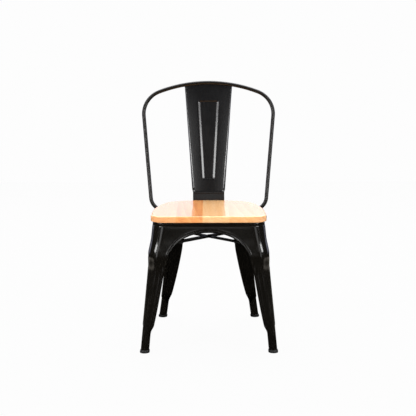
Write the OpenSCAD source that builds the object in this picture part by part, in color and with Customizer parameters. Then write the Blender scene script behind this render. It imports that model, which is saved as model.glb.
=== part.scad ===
// Stacking dining chair: a folded sheet-steel frame, a bent tube back and a glued wooden seat.
// Millimetres. The front faces -Y and +Z is up. The origin lies on the floor, under the middle
// of the chair's bounding box. Left and right are as seen from the front, so right is +X.

/* [Stance] */
// Depth over the front and rear foot caps
stance_d = 478; // [460:1:500]
// Distance between the centres of the front feet
front_stance_w = 410; // [380:1:440]
// Distance between the centres of the rear feet
rear_stance_w = 332.5; // [310:0.5:360]

/* [Seat] */
// Height of the top of the wooden seat
seat_h = 435; // [415:1:460]
// Thickness of the wood
seat_t = 20; // [16:1:26]
// How far the wood stands out over the steel frame
seat_overhang = 4.5; // [3:0.5:8]
// Width of one glued board
board_w = 84.5; // [60:0.5:110]
// Distance of the joint nearest the middle from the centre line
board_joint_x = 19.5; // [5:0.5:35]
// Rounding of the wood's upper edge
wood_round = 4; // [2:0.5:6]

/* [Frame outline at the seat] */
// Half width of the frame at its front corners
front_corner_x = 180; // [165:0.5:190]
// Distance of the frame's front face from the origin
front_corner_y = 201.5; // [190:0.5:210]
// Half width of the frame at the apex of its rear corners
rear_corner_x = 136.7; // [125:0.1:150]
// Distance of the apex of the rear corners from the origin
rear_corner_y = 118.7; // [110:0.1:125]
// Corner radius at the front
front_corner_r = 41.5; // [30:0.5:48]
// Corner radius at the rear
rear_corner_r = 81.5; // [60:0.5:95]
// Angle by which the rear corners open past a right angle, on each side
rear_flare = 17; // [10:1:20]

/* [Steel sheet] */
// Thickness of the legs, aprons and pan
sheet_t = 1.2; // [1:0.1:1.6]
// Distance from the wood's underside down to the top edge of the legs and aprons
frame_drop = 12; // [11.5:0.5:16]
// Height of the pan's turned-down rim, which the legs and aprons wrap
rim_h = 20; // [18:0.5:26]
// Rounding between the pan and its rim
rim_round = 5; // [3:0.5:6]

/* [Legs] */
// Diameter of the round tube that each leg closes to
tube_d = 27; // [24:0.2:30]
// Height at which the wings have closed to the tube
tube_z = 52; // [40:1:70]
// Height over which the wings close
closing_h = 36; // [30:1:80]
// Width of a front leg's wings under the seat
front_wing_w = 61.5; // [52:0.5:66]
// Width of a rear leg's wings under the seat
rear_wing_w = 66.5; // [56:0.5:72]
// Depth of the flute pressed into each leg's outer corner
flute_d = 4.5; // [1:0.5:6]
// Height at which the flute starts
flute_low = 76; // [70:1:120]
// Distance from the frame's top edge down to the upper end of the flute
flute_drop = 81; // [70:1:120]
// Swell of the corner at the upper end of the flute
swell = 4; // [0:0.5:5]
// Inward bow of the rear legs
rear_bow = 4.6; // [0:0.2:8]

/* [Aprons] */
// Distance from the frame's top edge down to the top of the arches
arch_drop = 21.5; // [20:0.5:30]
// Height of the arches over the point where they meet the legs
arch_h = 99.5; // [85:0.5:120]
// Roundness of the arches: 2 is an ellipse, more is squarer
arch_power = 2.3; // [2:0.1:3]
// Height of the rolled bead along the edges
bead_h = 1.8; // [1:0.1:2]

/* [Back hoop] */
// Diameter of the hoop's tube
hoop_d = 13; // [12:0.2:16]
// Wall of the hoop's tube
hoop_wall = 1.5; // [1:0.1:2]
// Height of the chair
chair_h = 845; // [820:1:870]
// Distance of the hoop's top from the origin, on its centre line
hoop_top_y = 222; // [205:1:228]
// Widest half width of the hoop, on its centre line
hoop_half_w = 225; // [210:0.5:230]
// Radius of the hoop's top, on its centre line
hoop_top_r = 478.5; // [400:1:600]
// Radius of the hoop's shoulders, on its centre line
hoop_shoulder_r = 83.5; // [70:0.5:95]
// Angle by which the hoop's sides run together downwards
hoop_taper = 5.1; // [4:0.1:6.5]
// Radius of the bends that turn in under the seat, on their centre line
hoop_foot_r = 45; // [38:1:50]
// Distance from the wood's underside down to the axis of the hoop's ends
hoop_end_drop = 8; // [7.5:0.5:9]

/* [Back splat] */
// Thickness of the splat
splat_t = 1.5; // [1.2:0.1:2]
// Width of the splat under the hoop
splat_top_w = 166; // [140:1:180]
// Width of the splat above its foot
splat_low_w = 113; // [100:1:125]
// Width of the splat's foot
splat_foot_w = 109; // [96:1:112]
// Height of the bend over the seat
splat_bend_rise = 27; // [20:1:40]
// Depth of the side flanges
flange_d = 10; // [7:0.5:14]
// Bend radius of the side flanges
flange_r = 5; // [3:0.5:6]
// Distance from the chair's top down to the panel's upper edge
panel_drop = 66; // [55:1:105]
// Distance from the bend up to the panel's lower edge
panel_rise = 43; // [26:1:76]
// Width of the panel at its upper edge
panel_top_w = 75; // [60:1:90]
// Width of the panel at its lower edge
panel_low_w = 44; // [36:1:60]
// Depth of the panel
panel_d = 3; // [2:0.5:4]
// Width of the panel's sloping walls
panel_wall = 8; // [6:0.5:10]
// Rounding of the panel's upper corners
panel_round = 10; // [5:1:14]

/* [Brace] */
// Width of the brace bars
brace_w = 16; // [14:1:22]
// Depth of the brace bars
brace_d = 7.5; // [7:0.5:10]
// Thickness of the brace bars
brace_t = 1.8; // [1.5:0.1:2.5]
// Distance from the frame's top edge down to the upper bar's top face
brace_drop = 61.5; // [50:0.5:65]
// Diameter of the rivet at the crossing
rivet_d = 6; // [5:0.5:8]

/* [Foot caps] */
// Wall of the foot caps
cap_wall = 1.8; // [0.8:0.1:2.4]
// Height of the foot caps
cap_h = 9; // [8:0.5:18]
// Thickness under the tube
cap_base = 3; // [2:0.5:6]

/* [Fasteners] */
// Thread diameter of the bolts
bolt_d = 4; // [3:0.5:4]
// Thickness of the saddles that carry the hoop's ends
saddle_t = 3; // [2:0.5:4]
// Half angle of the saddles round the rear corner
saddle_half = 18; // [16:0.5:22]
// Angle of a hoop bolt from the middle of its saddle
hoop_bolt_a = 12; // [11:0.5:14]
// Distance of a splat bolt from the centre line
splat_bolt_x = 32; // [24:1:42]
// Diameter of the seat screws
screw_d = 4; // [3.5:0.5:5]
// Length of the seat screws in the wood
screw_l = 14; // [10:1:15]

/* [Hidden] */

steel = [0.10, 0.10, 0.11];
wood = [0.93, 0.68, 0.43];
rubber = [0.05, 0.05, 0.05];
zinc = [0.55, 0.55, 0.56];

// Clearances: between sheets that lie on each other, round a shank, and round a tube in its cap
lap = 0.2;
hole_gap = 0.3;
cap_gap = 0.3;

tube_r = tube_d / 2;
cap_r = tube_r + cap_gap + cap_wall;
pan_z = seat_h - seat_t;
rim_z = pan_z - rim_h;
frame_top_z = pan_z - frame_drop;
full_z = frame_top_z - 3;
arch_z = frame_top_z - arch_drop;
arch_foot_z = arch_z - arch_h;
flute_high = frame_top_z - flute_drop;
brace_z = frame_top_z - brace_drop;
hoop_end_z = pan_z - hoop_end_drop;
splat_bend_z = seat_h + splat_bend_rise;
panel_low_z = splat_bend_z + panel_rise;
panel_top_z = chair_h - panel_drop;

// Faces of the rim, measured outwards from the outer face of the legs
rim_out = -sheet_t - lap;
rim_in = rim_out - sheet_t;

function lerp(a, b, t) = a + (b - a) * t;
function clamp01(t) = min(max(t, 0), 1);
function smooth(t) = let (u = clamp01(t)) u * u * (3 - 2 * u);
function dir(a) = [cos(a), sin(a)];
function reversed(list) = [for (i = [len(list) - 1 : -1 : 0]) list[i]];
function mirrored_x(list) = [for (p = list) [-p[0], p[1]]];

// Unit vector to the right of a step from a to b
function right_of(a, b) = let (s = b - a) [s[1], -s[0]] / norm(s);

// Moves each point of a 2-D line by d to the right of its direction; a closed line has no ends
function shifted(p, d, closed = false) = let (n = len(p)) [
    for (i = [0 : n - 1])
        let (
            before = closed || i > 0 ? right_of(p[(i + n - 1) % n], p[i]) : right_of(p[i], p[i + 1]),
            after = closed || i < n - 1 ? right_of(p[i], p[(i + 1) % n]) : before,
            m = before + after
        )
        p[i] + m * (2 * d / (m * m))
];

// Faces between rings of n points, each ring counter-clockwise as seen from the last one
function side_faces(n, rings) = [
    for (j = [0 : rings - 2], i = [0 : n - 1], half = [0, 1])
        let (a = j * n + i, b = j * n + (i + 1) % n)
        half == 0 ? [a, a + n, b + n] : [a, b + n, b]
];

// A solid skinned over rings that are convex at both ends
module skin(rings) {
    n = len(rings[0]);
    m = len(rings);
    ends = [[for (i = [0 : n - 1]) i], [for (i = [n - 1 : -1 : 0]) (m - 1) * n + i]];
    polyhedron([for (r = rings, p = r) p], concat(side_faces(n, m), ends), convexity = 10);
}

// A bent sheet: each ring is one face of the sheet from edge to edge, then the other face back
module sheet(rings) {
    n = len(rings[0]);
    h = n / 2;
    last = (len(rings) - 1) * n;
    first_end = [for (i = [0 : h - 2]) [i, i + 1, n - 2 - i, n - 1 - i]];
    last_end = [for (i = [0 : h - 2]) [last + n - 1 - i, last + n - 2 - i, last + i + 1, last + i]];
    polyhedron([for (r = rings, p = r) p], concat(side_faces(n, len(rings)), first_end, last_end), convexity = 10);
}

// Legs. A leg is worked out in a quarter where both u and v point outwards, then mirrored into place.
// Its section is a corner with two wings; towards the floor the wings curl round into a tube.
// Fields: apex of the corner under the seat, centre of the foot, corner radius, flare,
// wing width under the seat, how fast the wing and the radius grow, inward bow
front_foot = [front_stance_w / 2, stance_d / 2 - cap_r - 0.1];
rear_foot = [rear_stance_w / 2, stance_d / 2 - cap_r - 0.7];
FRONT = [[front_corner_x, front_corner_y], front_foot, front_corner_r, 0, front_wing_w, 0.6, 1.3, 0];
REAR = [[rear_corner_x, rear_corner_y], rear_foot, rear_corner_r, rear_flare, rear_wing_w, 0.7, 2, rear_bow];

closed_z = tube_z + closing_h;
swell_z = flute_high - 14;
swell_h = 30;
flare_low = arch_foot_z - 32;
seam_half = 4;
arc_steps = 6;

function rise(z) = clamp01((z - tube_z) / (full_z - tube_z));
function apex(leg, z) =
    let (q = min(z, full_z) / full_z, s = (z - swell_z) / swell_h)
    lerp(leg[1] + [tube_r, tube_r], leg[0], q)
        + [1, 1] * (swell * exp(-s * s) - 4 * leg[7] * q * (1 - q));
function half_angle(leg, z) = 45 + leg[3] * smooth((z - flare_low) / (full_z - flare_low));
function corner_r(leg, z) = lerp(tube_r, leg[2], pow(rise(z), leg[6]));
function wing(leg, z) = lerp(tube_d, leg[4], pow(rise(z), leg[5]));
function wing_dir(leg, z, side) = dir(225 + side * half_angle(leg, z));
function wing_end(leg, z, side) = apex(leg, z) + wing(leg, z) * wing_dir(leg, z, side);
function corner_centre(leg, z) = apex(leg, z) - dir(45) * (corner_r(leg, z) / sin(half_angle(leg, z)));
function flute(z) = flute_d * pow(max(sin(180 * clamp01((z - flute_low) / (flute_high - flute_low))), 0), 0.6);

// Rolled edge: distance from the edge, and height; it fades to the plain sheet as k goes to 0
bead_rolled = [[0, -2.5], [0.8, 0.4], [2.6, bead_h], [5, bead_h - 0.1], [8.2, -0.5], [11.2, 0.5], [14, 0]];
bead_plain = [[0, 0], [1.4, 0], [2.8, 0], [5, 0], [8.2, 0], [11.2, 0], [14, 0]];
bead_w = 14;
function bead(k) = [for (i = [0 : len(bead_rolled) - 1]) lerp(bead_plain[i], bead_rolled[i], k)];
function bead_fade(z) = 1 - smooth((z - arch_foot_z + 24) / 24);

// The wing on one side, from its edge towards the corner: side is 1 for the side wing, -1 for the other
function wing_line(leg, z, side) =
    let (e = -wing_dir(leg, z, side), out = dir(45 + side * (half_angle(leg, z) - 90)))
    [for (b = bead(bead_fade(z))) wing_end(leg, z, side) + e * b[0] + out * b[1]];

function corner_line(leg, z) = let (a = half_angle(leg, z)) [
    for (i = [0 : arc_steps])
        let (g = lerp(a - 45, 135 - a, i / arc_steps), w = sin(180 * i / arc_steps))
        corner_centre(leg, z) + dir(g) * (corner_r(leg, z) - flute(z) * w * w)
];

// The same number of points round the tube, stretched so that it is round across the leaning axis
function lean(leg) = (leg[0] - leg[1] - [tube_r, tube_r] - [4, 4] * leg[7]) / full_z;
function round_across(leg, p) = let (s = lean(leg), n = norm(s)) p + s * ((p * s) / (n * n)) * (sqrt(1 + n * n) - 1);
function tube_line(leg, z) =
    let (c = apex(leg, z) - [tube_r, tube_r], n = len(bead_plain) - 1)
    [
        for (i = [0 : n]) c + round_across(leg, tube_r * dir(lerp(seam_half - 135, -18, i / n))),
        for (i = [0 : arc_steps]) c + round_across(leg, tube_r * dir(90 * i / arc_steps)),
        for (i = [0 : n]) c + round_across(leg, tube_r * dir(lerp(108, 225 - seam_half, i / n)))
    ];

function leg_line(leg, z) =
    let (
        open = concat(wing_line(leg, z, 1), corner_line(leg, z), reversed(wing_line(leg, z, -1))),
        shut = tube_line(leg, z),
        k = smooth((closed_z - z) / closing_h)
    )
    [for (i = [0 : len(open) - 1]) lerp(open[i], shut[i], k)];

function leg_ring(leg, z) =
    let (outer = leg_line(leg, z), inner = shifted(outer, -sheet_t))
    [for (p = concat(outer, reversed(inner))) [p[0], p[1], z]];

// Heights of the rings: those above arch_foot_z are shared with the aprons, so that the seams meet
seam_steps = 4;
seam_zs = concat([for (i = [0 : seam_steps]) lerp(arch_foot_z, full_z, i / seam_steps)], [frame_top_z]);
leg_zs = concat(
    [cap_base + lap, tube_z / 2 + 2],
    [for (i = [0 : 4]) lerp(tube_z, closed_z, i / 4)],
    [for (i = [1 : 4]) lerp(closed_z, arch_foot_z - 24, i / 4)],
    [arch_foot_z - 12],
    seam_zs
);

module leg(leg) {
    sheet([for (z = leg_zs) leg_ring(leg, z)]);
}

// A hole for a shank of diameter d, across the sheets near z = 0
module drill(d) {
    cylinder(d = d + 2 * hole_gap, h = 3 * bolt_d, center = true, $fn = 32);
}

// Places of the two bolts at each end of the hoop, through the rim's rear corners
module hoop_bolt_places() {
    c = corner_centre(REAR, full_z);
    for (s = [-1, 1])
        translate([c[0], c[1], hoop_end_z])
            rotate([0, 90, 45 + s * hoop_bolt_a])
                translate([0, 0, rear_corner_r])
                    children();
}

module front_left_leg() { color(steel) rotate(180) leg(FRONT); }
module front_right_leg() { color(steel) mirror([0, 1, 0]) leg(FRONT); }
module rear_left_leg() { color(steel) mirror([1, 0, 0]) leg(REAR); }
module rear_right_leg() { color(steel) leg(REAR); }

// Foot caps: a cup round the leaning tube, level at the floor and at its rim
cap_points = 24;
function cap_ring(leg, r, z) = let (c = apex(leg, z) - [tube_r, tube_r]) [
    for (i = [0 : cap_points - 1])
        let (p = c + round_across(leg, r * dir(360 * i / cap_points)))
        [p[0], p[1], z]
];
module foot_cap(leg) {
    inner_r = tube_r + cap_gap;
    color(rubber)
        skin([
            cap_ring(leg, cap_r - 0.6, 0),
            cap_ring(leg, cap_r, 0.8),
            cap_ring(leg, cap_r, cap_h / 2),
            cap_ring(leg, cap_r - 0.3, cap_h - 0.7),
            cap_ring(leg, cap_r - 0.8, cap_h),
            cap_ring(leg, inner_r, cap_h),
            cap_ring(leg, inner_r, cap_base)
        ]);
}

module front_left_foot_cap() { rotate(180) foot_cap(FRONT); }
module front_right_foot_cap() { mirror([0, 1, 0]) foot_cap(FRONT); }
module rear_left_foot_cap() { mirror([1, 0, 0]) foot_cap(REAR); }
module rear_right_foot_cap() { foot_cap(REAR); }

// Aprons. A span runs from one leg's wing to the next, counter-clockwise round the chair.
// Fields: first leg and the quarter it is mirrored into, second leg and its quarter,
// which wing, and how far the span keeps each wing's direction
RIGHT_SPAN = [FRONT, [1, -1], REAR, [1, 1], 1, 0.33];
REAR_SPAN = [REAR, [1, 1], REAR, [-1, 1], -1, 0.14];
FRONT_SPAN = [FRONT, [-1, -1], FRONT, [1, -1], -1, 0.33];

function placed(p, quarter) = [p[0] * quarter[0], p[1] * quarter[1]];
function span_ends(span, z) = [
    placed(wing_end(span[0], z, span[4]), span[1]),
    placed(wing_end(span[2], z, span[4]), span[3])
];
function span_controls(span, z) =
    let (
        e = span_ends(span, z),
        reach = norm(e[1] - e[0]) * span[5],
        first = e[0] + reach * placed(wing_dir(span[0], z, span[4]), span[1]),
        second = e[1] + reach * placed(wing_dir(span[2], z, span[4]), span[3])
    )
    [e[0], first, second, e[1]];
function span_point(span, s, z) =
    let (c = span_controls(span, z), r = 1 - s)
    c[0] * (r * r * r) + c[1] * (3 * r * r * s) + c[2] * (3 * r * s * s) + c[3] * (s * s * s);
function span_out(span, s, z) = right_of(span_point(span, max(s - 0.01, 0), z), span_point(span, min(s + 0.01, 1), z));

apron_steps = 20;
apron_tip = 4;

function arch_point(span, i) =
    let (
        a = 180 * (1 - i / apron_steps),
        e = span_ends(span, arch_foot_z),
        half = 0.5 - apron_tip / norm(e[1] - e[0]),
        c = cos(a)
    )
    [0.5 + half * sign(c) * pow(abs(c), 2 / arch_power),
        lerp(arch_foot_z, arch_z, pow(abs(sin(a)), 2 / arch_power))];

// Upper end of each column: up the first leg's seam, along the top, and down the other seam
function apron_top(i) =
    let (n = len(seam_zs) - 1)
    i < n ? [0, seam_zs[i]] :
    i > apron_steps - n ? [1, seam_zs[apron_steps - i]] :
    [(i - n) / (apron_steps - 2 * n), seam_zs[n]];

function apron_ring(span, i) =
    let (
        low = arch_point(span, i),
        high = apron_top(i),
        e = span_ends(span, arch_foot_z),
        length = norm([(high[0] - low[0]) * norm(e[1] - e[0]), high[1] - low[1]]),
        squeeze = min(1, length / (bead_w + 2)),
        bead_end = bead_w * squeeze,
        at_full = high[1] > full_z
            ? length * (full_z - low[1]) / (high[1] - low[1])
            : lerp(bead_end, length, high[1] < full_z ? 0.7 : 0.97),
        field = [[lerp(bead_end, at_full, 0.5), 0], [at_full, 0], [length, 0]],
        line = concat([for (b = bead(1)) b * squeeze], field),
        outer = [for (b = line) apron_point(span, lerp(low, high, b[0] / length), b[1])],
        inner = [for (b = line) apron_point(span, lerp(low, high, b[0] / length), b[1] - sheet_t)]
    )
    concat(reversed(outer), inner);
function apron_point(span, at, h) =
    let (p = span_point(span, at[0], at[1]) + h * span_out(span, at[0], at[1]))
    [p[0], p[1], at[1]];

module apron(span) {
    sheet([for (i = [0 : apron_steps]) apron_ring(span, i)]);
}

module splat_bolt_places() {
    for (s = [-1, 1])
        translate([s * splat_bolt_x, rear_face_y, hoop_end_z]) rotate([-90, 0, 0]) children();
}

module front_apron() { color(steel) apron(FRONT_SPAN); }
module right_apron() { color(steel) apron(RIGHT_SPAN); }
module left_apron() { color(steel) mirror([1, 0, 0]) apron(RIGHT_SPAN); }
module rear_apron() { color(steel) apron(REAR_SPAN); }

// Outline of the frame at the seat, counter-clockwise
span_steps = apron_steps - 2 * len(seam_zs) + 2;
right_half = concat(
    [for (p = reversed(corner_line(FRONT, frame_top_z))) placed(p, [1, -1])],
    [for (i = [0 : span_steps]) span_point(RIGHT_SPAN, i / span_steps, frame_top_z)],
    corner_line(REAR, frame_top_z),
    [for (i = [0 : span_steps / 2 - 1]) span_point(REAR_SPAN, i / span_steps, frame_top_z)]
);
rear_middle = span_point(REAR_SPAN, 0.5, frame_top_z);
frame_outline = concat(right_half, [rear_middle], reversed(mirrored_x(right_half)));
rear_face_y = rear_middle[1];
function outline(d) = shifted(frame_outline, d, closed = true);
function level(points, z) = [for (p = points) [p[0], p[1], z]];

// Screws that hold the seat from below, through the pan
screw_places = [[-118, -140], [118, -140], [-85, 60], [85, 60]];
screw_head_h = 2.4;
module at_screws() {
    for (p = screw_places) translate([p[0], p[1], pan_z]) children();
}

// Seat pan: a shallow tray turned upside down
function rounding(r, steps, z, out) = [
    for (i = [0 : steps]) let (a = 90 * i / steps) level(outline(out - r * (1 - cos(a))), z - r + r * sin(a))
];
module seat_pan() {
    inner_r = rim_round - sheet_t;
    inside = concat(
        reversed(rounding(inner_r, 3, pan_z - sheet_t, rim_in)),
        [level(outline(rim_in), rim_z)]
    );
    outside = concat([level(outline(rim_out), rim_z)], rounding(rim_round, 3, pan_z, rim_out));
    color(steel)
        difference() {
            skin(concat(inside, outside));
            at_screws() drill(screw_d);
            for (s = [0, 1]) mirror([s, 0, 0]) hoop_bolt_places() drill(bolt_d);
            splat_bolt_places() drill(bolt_d);
        }
}

// Wooden seat: five boards glued edge to edge, sawn to the outline and rounded over
board_joints = concat([-stance_d], [for (i = [-1 : 2]) i * board_w - board_joint_x], [stance_d]);
module seat_slab() {
    under = 1.5;
    skin([
        level(outline(seat_overhang - under), pan_z),
        level(outline(seat_overhang), pan_z + under),
        level(outline(seat_overhang), seat_h - wood_round),
        level(outline(seat_overhang - 0.29 * wood_round), seat_h - 0.29 * wood_round),
        level(outline(seat_overhang - wood_round), seat_h)
    ]);
}
module seat_board(i) {
    color(wood)
        difference() {
            intersection() {
                seat_slab();
                translate([board_joints[i], -stance_d, pan_z - seat_t])
                    cube([board_joints[i + 1] - board_joints[i], 2 * stance_d, 3 * seat_t]);
            }
            for (p = screw_places) {
                if (p[0] > board_joints[i] && p[0] < board_joints[i + 1])
                    translate([p[0], p[1], pan_z - 1]) cylinder(d = screw_d + 0.2, h = screw_l + 1.3, $fn = 32);
            }
        }
}
module seat_board_1() { seat_board(0); }
module seat_board_2() { seat_board(1); }
module seat_board_3() { seat_board(2); }
module seat_board_4() { seat_board(3); }
module seat_board_5() { seat_board(4); }
module seat_screws() {
    color(zinc)
        at_screws() rotate_extrude($fn = 32)
            polygon([
                [0, -sheet_t - lap - screw_head_h], [screw_d * 0.7, -sheet_t - lap - screw_head_h],
                [screw_d, -sheet_t - lap - screw_head_h / 2], [screw_d, -sheet_t - lap],
                [screw_d / 2, -sheet_t - lap], [screw_d / 2, screw_l - screw_d / 2], [0, screw_l]
            ]);
}

// Brace: two channels that cross under the seat and end in the corners of the legs
function inner_corner(leg, z) =
    corner_centre(leg, z) + dir(45) * (corner_r(leg, z) - flute(z) - sheet_t)
    - dir(45) * (brace_w * brace_w / 8 / corner_r(leg, z) + hole_gap);
brace_front = placed(inner_corner(FRONT, brace_z), [-1, -1]);
brace_rear = inner_corner(REAR, brace_z);
brace_run = brace_rear - brace_front;
brace_a = atan2(brace_run[1], brace_run[0]);
brace_cross = brace_front + brace_run * (-brace_front[0] / brace_run[0]);
module brace_bar(depth) {
    x0 = -norm(brace_front - brace_cross);
    difference() {
        translate([x0, -brace_w / 2, -depth]) cube([norm(brace_run), brace_w, depth]);
        translate([x0 - 1, -brace_w / 2 + brace_t, -depth - brace_t])
            cube([norm(brace_run) + 2, brace_w - 2 * brace_t, depth]);
        drill(rivet_d);
    }
}
module upper_brace_bar() {
    notch = (brace_w + 2) / sin(180 - 2 * brace_a) + brace_w / abs(tan(180 - 2 * brace_a));
    color(steel)
        translate([brace_cross[0], brace_cross[1], brace_z]) rotate(brace_a)
            difference() {
                brace_bar(brace_d);
                translate([-notch / 2, -brace_w, -brace_d - 1])
                    cube([notch, 2 * brace_w, brace_d + 1 - brace_t - lap / 2]);
            }
}
module lower_brace_bar() {
    color(steel)
        mirror([1, 0, 0])
            translate([-brace_cross[0], brace_cross[1], brace_z - brace_t - lap]) rotate(brace_a)
                brace_bar(brace_d - brace_t - lap);
}
module brace_rivet() {
    grip = 2 * brace_t + 2 * lap;
    head_h = rivet_d * 0.35;
    head_r = rivet_d * 0.85;
    color(steel)
        translate([brace_cross[0], brace_cross[1], brace_z + lap / 2]) rotate_extrude($fn = 48)
            polygon([
                [0, head_h], [head_r * 0.55, head_h * 0.85], [head_r * 0.9, head_h * 0.4], [head_r, 0],
                [rivet_d / 2, 0], [rivet_d / 2, -grip], [head_r, -grip], [head_r * 0.9, -grip - head_h * 0.4],
                [head_r * 0.55, -grip - head_h * 0.85], [0, -grip - head_h]
            ]);
}

// Back hoop: worked out flat, as x and height up the leaning plane, from the axis of its ends
hoop_end_y = corner_centre(REAR, full_z)[1] + (rear_corner_r + rim_out + saddle_t) * sin(45);
hoop_rise = chair_h - hoop_d / 2 - hoop_end_z;
hoop_lean = atan((hoop_top_y - hoop_end_y) / hoop_rise);
hoop_flat_h = hoop_rise / cos(hoop_lean);
shoulder_x = hoop_half_w - hoop_shoulder_r;
shoulder_a = asin(shoulder_x / (hoop_top_r - hoop_shoulder_r));
shoulder_y = hoop_flat_h - hoop_top_r + (hoop_top_r - hoop_shoulder_r) * cos(shoulder_a);
side_top = [shoulder_x, shoulder_y] + hoop_shoulder_r * dir(-hoop_taper);
side_low_y = hoop_foot_r - hoop_foot_r * sin(hoop_taper);
side_len = (side_top[1] - side_low_y) / cos(hoop_taper);
side_low = side_top - side_len * dir(90 - hoop_taper);
foot_centre = side_low - hoop_foot_r * dir(-hoop_taper);
hoop_end_x = corner_centre(REAR, full_z)[0];

// The straight runs and the top are thinner by a hair, and reach into the walls of the bends beside them
tuck = 1;
hair = 0.02;
module ring_profile(less) {
    difference() {
        circle(d = hoop_d - 2 * less, $fn = 48);
        circle(d = hoop_d - 2 * hoop_wall + 2 * less, $fn = 48);
    }
}
module bend(centre, r, from, turn, less = 0) {
    translate([centre[0], centre[1], 0]) rotate(from)
        rotate_extrude(angle = turn, $fn = 180) translate([r, 0]) ring_profile(less);
}
module straight(start, a, length) {
    translate([start[0], start[1], 0]) rotate([0, 90, a])
        translate([0, 0, -tuck]) linear_extrude(height = length + 2 * tuck) ring_profile(hair);
}
top_half_a = shoulder_a + atan(tuck / hoop_top_r);
module hoop_half() {
    bend([shoulder_x, shoulder_y], hoop_shoulder_r, -hoop_taper, 90 + hoop_taper - shoulder_a);
    straight(side_low, 90 - hoop_taper, side_len);
    bend(foot_centre, hoop_foot_r, -90, 90 - hoop_taper);
    straight([hoop_end_x, 0], 0, foot_centre[0] - hoop_end_x);
}
module on_hoop_plane() {
    translate([0, hoop_end_y, hoop_end_z]) rotate([90 - hoop_lean, 0, 0]) children();
}
module back_hoop() {
    color(steel)
        difference() {
            on_hoop_plane() {
                bend([0, hoop_flat_h - hoop_top_r], hoop_top_r, 90 - top_half_a, 2 * top_half_a, hair);
                hoop_half();
                mirror([1, 0, 0]) hoop_half();
            }
            for (s = [0, 1]) mirror([s, 0, 0])
                translate(concat(corner_centre(REAR, full_z), [rim_z - 5]))
                    cylinder(r = rear_corner_r + rim_out + saddle_t + 2 * lap, h = rim_h + 10, $fn = 180);
        }
}

// Saddles: curved plates on the rim's rear corners, which carry the hoop's ends
module hoop_saddle() {
    c = corner_centre(REAR, full_z);
    r = rear_corner_r + rim_out + lap;
    h = 2 * (hoop_end_z - frame_top_z - lap);
    color(steel)
        difference() {
            translate([c[0], c[1], hoop_end_z - h / 2]) rotate(45 - saddle_half)
                rotate_extrude(angle = 2 * saddle_half, $fn = 180) translate([r, 0]) square([saddle_t, h]);
            hoop_bolt_places() drill(bolt_d);
        }
}
module right_hoop_saddle() { hoop_saddle(); }
module left_hoop_saddle() { mirror([1, 0, 0]) hoop_saddle(); }

// A button-head bolt along +Z whose head sits on z = 0, and its nut
head_h = bolt_d * 0.55;
nut_h = bolt_d * 0.8;
nut_w = bolt_d * 1.6;
module bolt(grip) {
    rotate_extrude($fn = 48)
        polygon([
            [0, head_h], [bolt_d * 0.45, head_h * 0.95], [bolt_d * 0.75, head_h * 0.6], [bolt_d * 0.9, 0],
            [bolt_d / 2, 0], [bolt_d / 2, -grip + 0.5], [bolt_d / 2 - 0.5, -grip], [0, -grip]
        ]);
}
module nut() {
    difference() {
        cylinder(d = nut_w / cos(30), h = nut_h, $fn = 6);
        translate([0, 0, -1]) cylinder(d = bolt_d + 0.3, h = nut_h + 2, $fn = 32);
    }
}
hoop_head = rim_out + 2 * lap + saddle_t;
nut_place = rim_in - 0.2 * bolt_d - nut_h;
thread_out = 0.3 * bolt_d;
hoop_grip = hoop_head - nut_place + thread_out;
module hoop_bolts() {
    color(zinc) for (s = [0, 1]) mirror([s, 0, 0])
        hoop_bolt_places() translate([0, 0, hoop_head + lap]) bolt(hoop_grip);
}
module hoop_nuts() {
    color(zinc) for (s = [0, 1]) mirror([s, 0, 0])
        hoop_bolt_places() translate([0, 0, nut_place]) rotate(30) nut();
}

// Back splat: rows across the sheet from the foot up to the hoop
foot_face_y = rear_face_y + rim_out + lap;
splat_face_y = rear_face_y + seat_overhang + lap;
splat_top_z = chair_h - hoop_d - hole_gap;
splat_slope = (hoop_top_y - splat_t / 2 - splat_face_y) / (splat_top_z - splat_bend_z);
foot_low_z = frame_top_z + 2 * lap;
function splat_y(z) =
    z >= splat_bend_z ? splat_face_y + (z - splat_bend_z) * splat_slope :
    z >= pan_z - lap ? splat_face_y :
    lerp(foot_face_y, splat_face_y, clamp01((z - (pan_z - 4.5)) / 4));
function splat_half(z) =
    z >= splat_bend_z + 8
    ? lerp(splat_low_w, splat_top_w, (z - splat_bend_z) / (splat_top_z - splat_bend_z)) / 2
    : lerp(splat_foot_w, splat_low_w, clamp01((z - splat_bend_z) / 8)) / 2;
function panel_side(z) =
    let (
        line = lerp(panel_low_w, panel_top_w, (z - panel_low_z) / (panel_top_z - panel_low_z)) / 2,
        e = clamp01((panel_top_z - z) / panel_round)
    )
    line - panel_round * (1 - sqrt(1 - (1 - e) * (1 - e)));
function panel_depth(z) =
    panel_d * smooth((z - panel_low_z) / panel_wall) * smooth((panel_top_z - z) / panel_wall);
function splat_right(z) =
    let (
        w = splat_half(z),
        k = smooth((z - splat_bend_z) / 8),
        p = panel_side(z),
        d = panel_depth(z),
        r = flange_r
    )
    concat(
        [for (i = [0 : 3]) [p - panel_wall * (1 - i / 3), d * (1 - smooth(i / 3))]],
        [
            [w - r, 0],
            lerp([w - 0.6 * r, 0], [w - 0.29 * r, 0.29 * r], k),
            lerp([w - 0.3 * r, 0], [w, r], k),
            lerp([w, 0], [w, flange_d], k)
        ]
    );
function splat_line(z) = let (right = splat_right(z)) concat(reversed(mirrored_x(right)), right);
function under_hoop(x) = splat_top_z - (hoop_top_r - sqrt(hoop_top_r * hoop_top_r - x * x)) * cos(hoop_lean);
function splat_ring(z, top = false) =
    let (front = splat_line(z), back = shifted(front, -splat_t))
    [
        for (p = concat(front, reversed(back)))
            let (h = top ? under_hoop(p[0]) : z)
            [p[0], p[1] + splat_y(h), h]
    ];
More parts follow.
